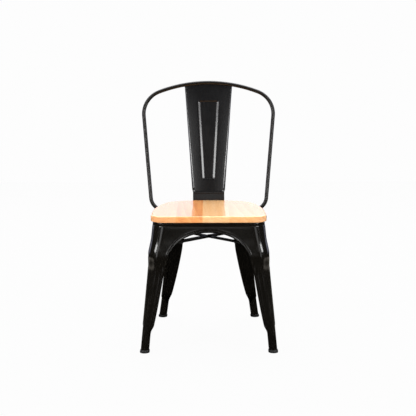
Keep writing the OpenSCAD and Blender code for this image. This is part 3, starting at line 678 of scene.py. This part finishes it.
def cut(work, x, keep_right):
    geometry = work.verts[:] + work.edges[:] + work.faces[:]
    bmesh.ops.bisect_plane(
        work, geom=geometry, dist=1e-6, plane_co=(x * MM, 0, 0), plane_no=(1, 0, 0),
        clear_inner=keep_right, clear_outer=not keep_right)
    bmesh.ops.holes_fill(work, edges=[e for e in work.edges if e.is_boundary], sides=0)


for i in range(len(woods)):
    work = bmesh.new()
    work.from_mesh(slab.data)
    if i > 0:
        cut(work, GLUE_JOINTS[i - 1], True)
    if i < len(GLUE_JOINTS):
        cut(work, GLUE_JOINTS[i], False)
    bmesh.ops.recalc_face_normals(work, faces=work.faces)
    mesh = bpy.data.meshes.new("seat_board")
    work.to_mesh(mesh)
    work.free()
    mesh.shade_smooth()
    mesh.set_sharp_from_angle(angle=math.radians(50))
    mesh.materials.append(woods[i])
    ride_as(link("glued_seat_board_%d" % (i + 1), mesh), "wood", "seat_board_%d" % (i + 1))
bpy.data.objects.remove(slab)


# %% [markdown]
# ## Back hoop
# One tube is bent into an arch: a shallow curve over the top, a shoulder each side, straight sides that run
# together, and a bend that turns in under the seat. A Bezier curve would only come near to these arcs. Here the
# centre line is a rule in the hoop's own leaning plane, and Geometry Nodes sweep a circle along it. Then the
# two ends are mitred to the round saddles that carry them.

# %% The hoop's centre line
TUBE_D, TUBE_SIDES = 13, 40
LEAN = math.radians(14.2776)
END_X, END_Y, END_Z = 120.0, 112.192, 407.0
TAPER, SHOULDER_A = 5.1, 20.9914
# The bends' radii and centres in the hoop's own plane, and how high it rises there.
END_BEND, SHOULDER_BEND, TOP_BEND = 45, 83.5, 478.5
END_AT, SHOULDER_AT, HOOP_HIGH = (154.223, END_BEND), (141.5, 335.538), 445.253


def bend_points(centre, r, first, last, steps):
    return [np.array(centre) + r * direction(a) for a in np.linspace(first, last, steps + 1)]


half_hoop = [np.array((END_X, 0.0))] + bend_points(END_AT, END_BEND, -90, -TAPER, 20)
half_hoop += bend_points(SHOULDER_AT, SHOULDER_BEND, -TAPER, 90 - SHOULDER_A, 30)
half_hoop += bend_points((0, HOOP_HIGH - TOP_BEND), TOP_BEND, 90 - SHOULDER_A, 90, 16)[1:]
flat_hoop = half_hoop + [p * (-1, 1) for p in half_hoop[-2::-1]]
hoop_line = [(x, END_Y + s * math.sin(LEAN), END_Z + s * math.cos(LEAN)) for x, s in flat_hoop]
print("hoop line", len(hoop_line), "points, top at", max(p[2] for p in hoop_line))


# %% Sweep the tube in Geometry Nodes
def new_tree(name, sockets):
    tree = bpy.data.node_groups.new(name, "GeometryNodeTree")
    tree.interface.new_socket("Geometry", in_out="INPUT", socket_type="NodeSocketGeometry")
    for label, kind, value in sockets:
        tree.interface.new_socket(label, in_out="INPUT", socket_type=kind).default_value = value
    tree.interface.new_socket("Geometry", in_out="OUTPUT", socket_type="NodeSocketGeometry")
    return tree, tree.nodes.new("NodeGroupInput"), tree.nodes.new("NodeGroupOutput")


def close_tree(tree, geometry, out, material):
    shaded = add(tree, "GeometryNodeSetShadeSmooth", Geometry=geometry)
    real = add(tree, "GeometryNodeRealizeInstances", Geometry=shaded.outputs["Geometry"])
    painted = add(tree, "GeometryNodeSetMaterial", Geometry=real.outputs["Geometry"], Material=material)
    tree.links.new(painted.outputs["Geometry"], out.inputs["Geometry"])


def baked(name, points, edges, tree, directions=None):
    """Runs the tree on points, and gives the result as a plain mesh object."""
    mesh = bpy.data.meshes.new(name + "_base")
    mesh.from_pydata([tuple(float(c) * MM for c in p) for p in points], edges, [])
    if directions is not None:
        attribute = mesh.attributes.new("out", "FLOAT_VECTOR", "POINT")
        attribute.data.foreach_set("vector", np.array(directions, dtype=float).ravel())
    base = link(name + "_base", mesh)
    base.modifiers.new("rule", "NODES").node_group = tree
    graph = bpy.context.evaluated_depsgraph_get()
    result = bpy.data.meshes.new_from_object(base.evaluated_get(graph))
    result.name = name
    bpy.data.objects.remove(base)
    return link(name, result)


tree, given, out = new_tree("sweep_tube", [
    ("Tube diameter", "NodeSocketFloat", TUBE_D * MM), ("Sides", "NodeSocketInt", TUBE_SIDES)])
radius = add(tree, "ShaderNodeMath", {"operation": "MULTIPLY"}, i0=given.outputs["Tube diameter"], i1=0.5)
path = add(tree, "GeometryNodeMeshToCurve", Mesh=given.outputs["Geometry"])
circle = add(tree, "GeometryNodeCurvePrimitiveCircle", Resolution=given.outputs["Sides"], Radius=radius.outputs[0])
tube = add(
    tree, "GeometryNodeCurveToMesh", Fill_Caps=True,
    Curve=path.outputs["Curve"], Profile_Curve=circle.outputs["Curve"])
close_tree(tree, tube.outputs["Mesh"], out, hoop_coat)
hoop = baked("bent_back_hoop", hoop_line, [(i, i + 1) for i in range(len(hoop_line) - 1)], tree)

# Only the end rings lie within 2 mm of END_X and below the seat.
SADDLE_R = 83.5
saddle_c = corner_centre(REAR, FULL_Z)
for vertex in hoop.data.vertices:
    x, y, z = (c / MM for c in vertex.co)
    if abs(x) < END_X + 2 and z < 420:
        on_saddle = saddle_c[0] + math.sqrt(SADDLE_R ** 2 - (y - saddle_c[1]) ** 2)
        vertex.co.x = math.copysign(on_saddle, x) * MM
hoop.data.set_sharp_from_angle(angle=math.radians(60))
ride_as(hoop, "black_steel", "back_hoop")


# %% [markdown]
# ## Back splat
# The splat is one pressed sheet. Its foot hangs behind the wood and is bolted to the rim, it bends back at
# 462 mm, its sides are folded back, and a tapering panel is pressed 3 mm deep into its middle. The folds are
# broad at the foot and tight at the top, and leave the sheet very slightly crowned, which is why the gloss
# fades from its edges to its middle. A bump would give lines without an outline, so all of it is in the mesh.

# %% The splat's rows
SPLAT_T = 1.5
BEND_Z, SPLAT_TOP, PANEL_TOP, PANEL_LOW = 462.0, 831.7, 779.0, 505.0
FOOT_Y, FACE_Y, TOP_Y = REAR_Y - 1.2, REAR_Y + 4.7, 222
SLOPE = (TOP_Y - SPLAT_T / 2 - FACE_Y) / (SPLAT_TOP - BEND_Z)
# Widths over all at the foot, over the bend and at the top, and of the panel at its lower and upper end.
FOOT_W, LOW_W, TOP_W, PANEL_LOW_W, PANEL_TOP_W = 109, 113, 166, 44, 75
# The step over the rim starts at STEP_Z. The bend and the panel's ends are rounded over these lengths.
STEP_Z, STEP_LONG, HALF_BEND, FADE, PANEL_CORNER = PAN_Z - 4.5, 4.2, 5, 8, 10
# The panel's depth, its wall's width and how much of that is rounded, and how far the face bulges and tips.
PANEL_D, WALL, WALL_ROUND, CROWN, FOOT_TIP = 3, 9.0, 0.16, 1.2, 2.2
# The fold's section at the bend and at the top, from the edge inwards and from the face backwards.
FOLD_W = 9
FOLD_LOW = np.array([(-FOLD_W, 0), (-7.4, 0.4), (-2.8, 2.16), (-0.9, 3.6), (0, 6), (0, 10)])
FOLD_HIGH = np.array([(-FOLD_W, 0), (-4.2, 0.05), (-2.6, 0.5), (-1, 1.8), (0, 4.6), (0, 10)])


def splat_y(z):
    """The face's distance back. The foot steps over the rim, and its face is tipped by FOOT_TIP over the seat."""
    if z < PAN_Z - 0.2:
        return lerp(FOOT_Y, FACE_Y, smooth((z - STEP_Z) / STEP_LONG))
    over = z - BEND_Z
    over_seat = min(max((z - SEAT_H - 1) / (BEND_Z - HALF_BEND - SEAT_H - 1), 0), 1)
    below_top = min((SPLAT_TOP - z) / (SPLAT_TOP - BEND_Z), 1)
    tipped = FOOT_TIP * over_seat * below_top
    if over < -HALF_BEND:
        return FACE_Y + tipped
    return FACE_Y + tipped + SLOPE * (over if over > HALF_BEND else (over + HALF_BEND) ** 2 / (4 * HALF_BEND))


def splat_half(z):
    if z >= BEND_Z + FADE:
        return lerp(LOW_W, TOP_W, (z - BEND_Z) / (SPLAT_TOP - BEND_Z)) / 2
    return lerp(FOOT_W, LOW_W, smooth((z - BEND_Z) / FADE)) / 2


def panel_side(z):
    line = lerp(PANEL_LOW_W, PANEL_TOP_W, (z - PANEL_LOW) / (PANEL_TOP - PANEL_LOW)) / 2
    e = min(max((PANEL_TOP - z) / PANEL_CORNER, 0.0), 1.0)
    return line - PANEL_CORNER * (1 - math.sqrt(max(1 - (1 - e) ** 2, 0)))


def wall_rise(t):
    """A straight slope with a short round at its foot and its top."""
    r = WALL_ROUND
    if t < r:
        return t * t / (2 * r * (1 - r))
    if t > 1 - r:
        return 1 - (1 - t) ** 2 / (2 * r * (1 - r))
    return (t - r / 2) / (1 - r)


def splat_half_line(z):
    """Half a row from the middle outwards: the panel's floor and wall, the flat, and the fold, which k fades in."""
    w, k, p = splat_half(z), smooth((z - BEND_Z) / FADE), panel_side(z)
    d = PANEL_D * smooth((z - PANEL_LOW) / FADE) * smooth((PANEL_TOP - z) / FADE)
    line = [(x, d) for x in np.linspace(0, p - WALL, 4)]
    line += [(p - WALL * (1 - t), d * (1 - wall_rise(t))) for t in np.arange(1, 13) / 12]
    line += [(lerp(p, w - FOLD_W, t), 0) for t in np.arange(1, 7) / 6]
    folded = through(lerp(FOLD_LOW, FOLD_HIGH, smooth((z - BEND_Z) / (SPLAT_TOP - BEND_Z))), 3)[1:]
    for i, (x, y) in enumerate(folded):
        line.append((w + lerp(-FOLD_W + FOLD_W * (i + 1) / len(folded), x, k), y * k))
    return np.array([(x, y + CROWN * k * min(x / w, 1) ** 2) for x, y in line])


def under_hoop(x):
    """The top edge, which follows the hoop's curve and ends 1 mm inside the tube."""
    return SPLAT_TOP + 1 - (TOP_BEND - math.sqrt(TOP_BEND ** 2 - x * x)) * math.cos(LEAN)


# Rows lie close together where the sheet bends, and the rows over CURVED_Z follow the hoop more and more.
CURVED_Z = 789
splat_heights = np.concatenate([
    [403.4, 405.5, 408], np.linspace(410.5, PAN_Z, 7), [430, 436, 446], np.linspace(456, 471, 11),
    np.linspace(478, PANEL_LOW, 5), np.linspace(PANEL_LOW, 515, 9)[1:], np.linspace(515, 766, 12)[1:],
    np.linspace(766, 781, 16)[1:], [790, 805, 820, SPLAT_TOP]])


def splat_grid(depth):
    rows = []
    for z in splat_heights:
        half = splat_half_line(z)
        line = np.vstack([half[:0:-1] * (-1, 1), half])
        step = np.gradient(line, axis=0)
        line = line + depth * np.column_stack([-step[:, 1], step[:, 0]]) / np.linalg.norm(step, axis=1)[:, None]
        share = max((z - CURVED_Z) / (SPLAT_TOP - CURVED_Z), 0)
        heights = [lerp(CURVED_Z, under_hoop(x), share) if share else z for x in line[:, 0]]
        rows.append([(x, y + splat_y(h), h) for (x, y), h in zip(line, heights)])
    return np.array(rows)


print("the splat has", len(splat_heights), "rows")


# %% Make the splat
splat = sheet("pressed_back_splat", splat_grid(0), splat_grid(SPLAT_T), back_coat, 40)
ride_as(splat, "black_steel", "back_splat")


# %% [markdown]
# ## Bolts and screws
# Ten fasteners repeat two forms: a button-head bolt and a pan-head screw, both with a hexagon socket. Copies
# made by hand would mean ten changes for a new size. Geometry Nodes set one on every point, turned by the
# point's own direction.

# %% A tree that sets fasteners on points
SOCKET_SHARE = 0.42


def fastener_tree(name, head_r, head_h, shank_r, shank_l):
    sizes = {"Head radius": head_r, "Head height": head_h, "Shank radius": shank_r, "Shank length": shank_l}
    tree, given, out = new_tree(name, [(label, "NodeSocketFloat", size * MM) for label, size in sizes.items()])
    radius, height, rod_radius, length = (given.outputs[label] for label in sizes)
    size = add(tree, "ShaderNodeCombineXYZ", X=radius, Y=radius, Z=height)
    ball = add(tree, "GeometryNodeMeshUVSphere", Segments=40, Rings=20, Radius=1.0)
    dome = add(tree, "GeometryNodeTransform", Geometry=ball.outputs["Mesh"], Scale=size.outputs["Vector"])
    socket_r = add(tree, "ShaderNodeMath", {"operation": "MULTIPLY"}, i0=radius, i1=SOCKET_SHARE)
    hexagon = add(tree, "GeometryNodeMeshCylinder", Vertices=6, Radius=socket_r.outputs[0], Depth=height)
    lift = add(tree, "ShaderNodeCombineXYZ", Z=height)
    raised = add(tree, "GeometryNodeTransform", Geometry=hexagon.outputs["Mesh"], Translation=lift.outputs["Vector"])
    head = add(
        tree, "GeometryNodeMeshBoolean", {"operation": "DIFFERENCE"},
        i0=dome.outputs["Geometry"], i1=raised.outputs["Geometry"])
    rod = add(tree, "GeometryNodeMeshCylinder", Vertices=24, Radius=rod_radius, Depth=length)
    down = add(tree, "ShaderNodeMath", {"operation": "MULTIPLY"}, i0=length, i1=-0.5)
    drop = add(tree, "ShaderNodeCombineXYZ", Z=down.outputs[0])
    shank = add(tree, "GeometryNodeTransform", Geometry=rod.outputs["Mesh"], Translation=drop.outputs["Vector"])
    whole = add(tree, "GeometryNodeJoinGeometry")
    for part in (head.outputs["Mesh"], shank.outputs["Geometry"]):
        tree.links.new(part, whole.inputs[0])
    facing = add(tree, "GeometryNodeInputNamedAttribute", {"data_type": "FLOAT_VECTOR"}, Name="out")
    way = next(o for o in facing.outputs if o.enabled and o.name == "Attribute")
    turn = add(tree, "FunctionNodeAlignRotationToVector", {"axis": "Z"}, Vector=way)
    placed = add(
        tree, "GeometryNodeInstanceOnPoints", Points=given.outputs["Geometry"], Instance=whole.outputs["Geometry"],
        Rotation=turn.outputs["Rotation"])
    close_tree(tree, placed.outputs["Instances"], out, zinc)
    return tree


# %% Set the bolts and the screws
# Head radius, head height and shank radius. The length of the shank differs from place to place.
BOLT, SCREW = (3.6, 2.2, 2.0), (4.0, 2.4, 2.0)
# How far the heads stand off the leg's corner, the chair's rear and the pan, and where each one sits.
HOOP_BOLT_OUT, SPLAT_BOLT_OUT, SCREW_OUT = 2.2, 0.5, 0.2
HOOP_BOLT_TURNS, SPLAT_BOLT_X = (33, 57), 32
SCREWS_AT = ((-118, -140), (118, -140), (-85, 60), (85, 60))


def set_fasteners(name, node, points, ways, tree):
    piece = baked(name, points, [], tree, ways)
    piece.data.set_sharp_from_angle(angle=math.radians(35))
    ride_as(piece, "fastener", node)


bolt_points, bolt_ways = [], []
for k in (-1, 1):
    for a in HOOP_BOLT_TURNS:
        way = direction(a) * (k, 1)
        seat = saddle_c * (k, 1) + way * (REAR["radius"] + HOOP_BOLT_OUT)
        bolt_points.append((seat[0], seat[1], END_Z))
        bolt_ways.append((way[0], way[1], 0))
bolt_tree = fastener_tree("button_head_bolts", *BOLT, 9.8)
set_fasteners("hoop_bolts_button_head", "hoop_bolts", bolt_points, bolt_ways, bolt_tree)

splat_points = [(k * SPLAT_BOLT_X, REAR_Y + SPLAT_BOLT_OUT, END_Z) for k in (-1, 1)]
splat_tree = fastener_tree("splat_bolts_tree", *BOLT, 8.3)
set_fasteners("splat_bolts_button_head", "splat_bolts", splat_points, [(0, 1, 0)] * 2, splat_tree)

screw_points = [(x, y, PAN_Z - SHEET_T - SCREW_OUT) for x, y in SCREWS_AT]
screw_tree = fastener_tree("pan_head_screws", *SCREW, 13)
set_fasteners("seat_screws_pan_head", "seat_screws", screw_points, [(0, 0, -1)] * 4, screw_tree)


# %% [markdown]
# ## Plain solids that stay
# The brace bars, the saddles, the rivet and the nuts are right as the CAD has them, so making them again would
# gain nothing. They only get their finish, and the bars and saddles a small bevel, because the coat rounds
# their edges.

# %% Finish the CAD nodes that stay
for name, material in (
        ("upper_brace_bar", brace_coat), ("lower_brace_bar", brace_coat), ("brace_rivet", brace_coat),
        ("left_hoop_saddle", steel_coat), ("right_hoop_saddle", steel_coat),
        ("hoop_nuts", zinc), ("splat_nuts", zinc)):
    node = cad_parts[name]
    node.data.materials.clear()
    node.data.materials.append(material)
    if name.endswith(("bar", "saddle")):
        bevel = node.modifiers.new("worn edge", "BEVEL")
        bevel.width, bevel.segments, bevel.angle_limit = 0.5 * MM, 2, math.radians(50)
    print("finished", name)


# %% [markdown]
# ## Floor and wall
# The photograph was taken against white, and the floor, the wall and the room show white to the camera. More
# light would also bleach the chair, so a mix by ray does it: the camera's rays see white, others a matt paper. The
# lacquer mirrors the wall, a little brighter than white, while the floor stays dim in reflections, as the legs are
# dark in the photograph. Two pools of light are painted on the floor beside the chair as a glow that only reflections
# see, and they show in the outer corners of the front legs.

# %% Floor and wall
# The floor's painted pools of light, a glow seen only in reflections, lie this far from the middle, in metres, and
# fade between these two distances.
PAINTED_POOL_AT, PAINTED_POOL_NEAR, PAINTED_POOL_FAR = (1.95, 0.5, 0), 0.2, 0.85


def pale_stage(name, lit, seen, seen_strength, mirror_colour, near, far):
    """White to the camera for the share seen. In reflections it glows as bright as near in the painted pools of light
    beside the chair, and else as far.
    """
    material, tree = new_material(name)
    path = add(tree, "ShaderNodeLightPath")
    matt = add(tree, "ShaderNodeBsdfDiffuse", Color=lit)
    glow = add(tree, "ShaderNodeEmission", Color=linear("#fdfdfd"), Strength=seen_strength)
    share = add(tree, "ShaderNodeMath", {"operation": "MULTIPLY"}, i0=path.outputs["Is Camera Ray"], i1=seen)
    shown = add(tree, "ShaderNodeMixShader", i0=share.outputs[0], i1=matt.outputs["BSDF"], i2=glow.outputs["Emission"])
    place = add(tree, "ShaderNodeTexCoord").outputs["Object"]
    folded = add(tree, "ShaderNodeVectorMath", {"operation": "ABSOLUTE"}, i0=place)
    beside = add(tree, "ShaderNodeVectorMath", {"operation": "SUBTRACT"}, i0=folded.outputs["Vector"], i1=PAINTED_POOL_AT)
    far_off = add(tree, "ShaderNodeVectorMath", {"operation": "LENGTH"}, i0=beside.outputs["Vector"])
    # Painted pools of light: the glow seen in reflections is brighter near these places beside the chair.
    strength = add(
        tree, "ShaderNodeMapRange", {"interpolation_type": "SMOOTHSTEP"}, Value=far_off.outputs["Value"],
        From_Min=PAINTED_POOL_NEAR, From_Max=PAINTED_POOL_FAR, To_Min=near, To_Max=far)
    mirror = add(tree, "ShaderNodeEmission", Color=mirror_colour, Strength=strength.outputs["Result"])
    both = add(
        tree, "ShaderNodeMixShader",
        i0=path.outputs["Is Glossy Ray"], i1=shown.outputs["Shader"], i2=mirror.outputs["Emission"])
    add(tree, "ShaderNodeOutputMaterial", Surface=both.outputs["Shader"])
    return material


def stage_plane(name, corners, material):
    mesh = bpy.data.meshes.new(name)
    mesh.from_pydata(corners, [], [(0, 1, 2, 3)])
    mesh.materials.append(material)
    plane = link(name, mesh)


ROOM_HALF, WALL_Y, WALL_LOW, WALL_HIGH = 8, 4, -0.2, 9

floor_paint = pale_stage("white_cove_floor", linear("#c2c2c2"), 0.975, 0.998, linear("#fff4e6"), 1.2, 0.015)
wall_paint = pale_stage("white_cove_wall", linear("#f4f4f4"), 1.0, 1.0, linear("#e6e8ff"), 1.06, 1.06)
corners = ((-1, -1), (1, -1), (1, 1), (-1, 1))
stage_plane("floor", [(x * ROOM_HALF, y * ROOM_HALF, 0) for x, y in corners], floor_paint)
wall_heights = {-1: WALL_LOW, 1: WALL_HIGH}
stage_plane("wall", [(x * ROOM_HALF, WALL_Y, wall_heights[up]) for x, up in corners], wall_paint)
print("stage", floor_paint.name, wall_paint.name)


# %% [markdown]
# ## Light
# A black gloss shows its lights more than its colour, so each lamp is a soft box placed where a line or a sheen
# of the photograph is mirrored. A sky picture would be easier, but its lines can't be placed. A wide box hangs
# above. In front, left and right, a small bright pair draws the lines along the splat's folds and pressed
# walls, with a larger, dimmer pair over it. Two pairs of dim, tall boxes give the splat and the tube their
# sheen, a little more on the left, and a panel in the middle lights the splat's foot. The room, the lights and
# the camera are in metres.

# %% Lights
def soft_box(name, place, target, width, height, brightness):
    """An area light whose face is so many times as bright as a white sheet in the picture."""
    light = bpy.data.lights.new(name, "AREA")
    light.shape = "RECTANGLE"
    light.size, light.size_y = width, height
    light.energy = brightness * math.pi * width * height
    lamp = link(name, light)
    lamp.location = place
    lamp.rotation_euler = (Vector(target) - Vector(place)).to_track_quat("-Z", "Y").to_euler()


soft_box("box_above", (0, 1.4, 2.9), (0, 1.2, 0.4), 5.0, 4.6, 3.75)
soft_box("front_panel", (0, -4.2, 0.72), (0, 0, 0.6), 0.45, 0.45, 0.95)
for side, more in ((-1, 1.25), (1, 0.88)):
    soft_box("key_low", (side * 2.22, -2.02, 1.31), (0, 0.15, 0.8), 0.9, 0.68, 14)
    soft_box("key_high", (side * 2.15, -2.1, 2.6), (0, 0, 0.5), 1.3, 1.5, 5.5)
    soft_box("high_strip", (side * 0.55, -3.3, 1.5), (0, 0, 0.9), 0.5, 0.85, 1.4 * more)
    soft_box("low_strip", (side * 1.4, -2.9, 0.95), (0, 0, 0.9), 0.8, 1.3, 1.6 * more)

world = bpy.data.worlds.new("grey_room")
scene.world = world
world.use_nodes = True
tree = world.node_tree
tree.nodes.clear()
room = add(tree, "ShaderNodeBackground", Color=linear("#9a9a9a"), Strength=0.12)
seen_room = add(tree, "ShaderNodeBackground", Color=linear("#fdfdfd"), Strength=1.0)
to_camera = add(tree, "ShaderNodeLightPath").outputs["Is Camera Ray"]
either = add(
    tree, "ShaderNodeMixShader", i0=to_camera, i1=room.outputs["Background"], i2=seen_room.outputs["Background"])
add(tree, "ShaderNodeOutputWorld", Surface=either.outputs["Shader"])
print("lights", [light.name for light in bpy.data.lights])


# %% [markdown]
# ## Camera
# The photograph was taken from a little above the top of the chair, looking down on it, with a long lens.
# Moved by eye, a camera leaves its lens a guess. So its focal length, in pixels of the photograph, its place
# and its tilt were found by a fit to the chair's edges.

# %% Camera
SENSOR, FOCAL_PIXELS, PHOTO_PIXELS = 36, 1036.1, 416
CAMERA_AT, TILT, ROLL = (-0.0012, -3.4186, 0.9624), 8.846, 0.12

camera_data = bpy.data.cameras.new("camera")
camera_data.lens = SENSOR * FOCAL_PIXELS / PHOTO_PIXELS
camera_data.clip_end = 50
camera = link("camera", camera_data)
camera.location = CAMERA_AT
camera.rotation_euler = (math.radians(90 - TILT), math.radians(ROLL), 0)
scene.camera = camera
scene.view_settings.view_transform = "Standard"
print("camera", tuple(camera.location), "lens", camera_data.lens)
